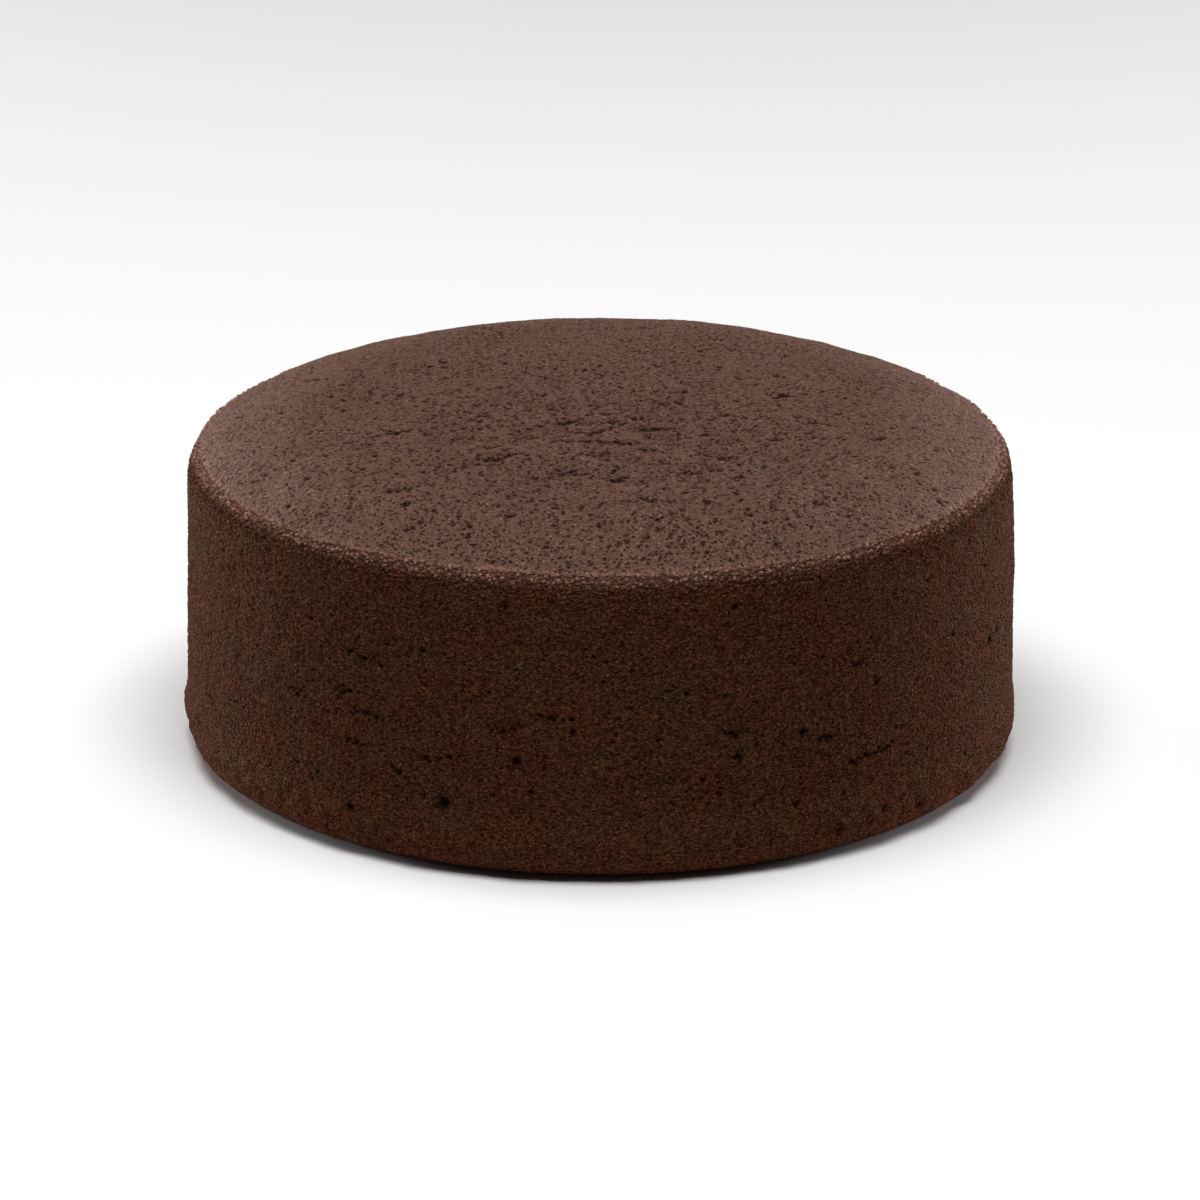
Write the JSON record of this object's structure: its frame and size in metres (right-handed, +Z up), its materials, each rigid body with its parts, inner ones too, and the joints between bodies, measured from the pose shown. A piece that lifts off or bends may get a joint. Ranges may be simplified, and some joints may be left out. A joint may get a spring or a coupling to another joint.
{
  "type": "chocolate mud cake",
  "caption": "Plain round chocolate mud cake, uncut and unfrosted, with a flat top, upright sides and a flat base to rest on.",
  "frame": {"origin": "centre of the flat base, on the surface that the cake stands on", "axes": "+Z up, -Y towards the side shown in the picture, +X to that side's right"},
  "size_m": [0.2345, 0.2346, 0.0961],
  "materials": {
    "cake_crumb": "dark brown baked crumb, dull, with a faint pale sheen"
  },
  "bodies": {
    "root": {"cake": "cake_crumb"}
  },
  "joints": []
}
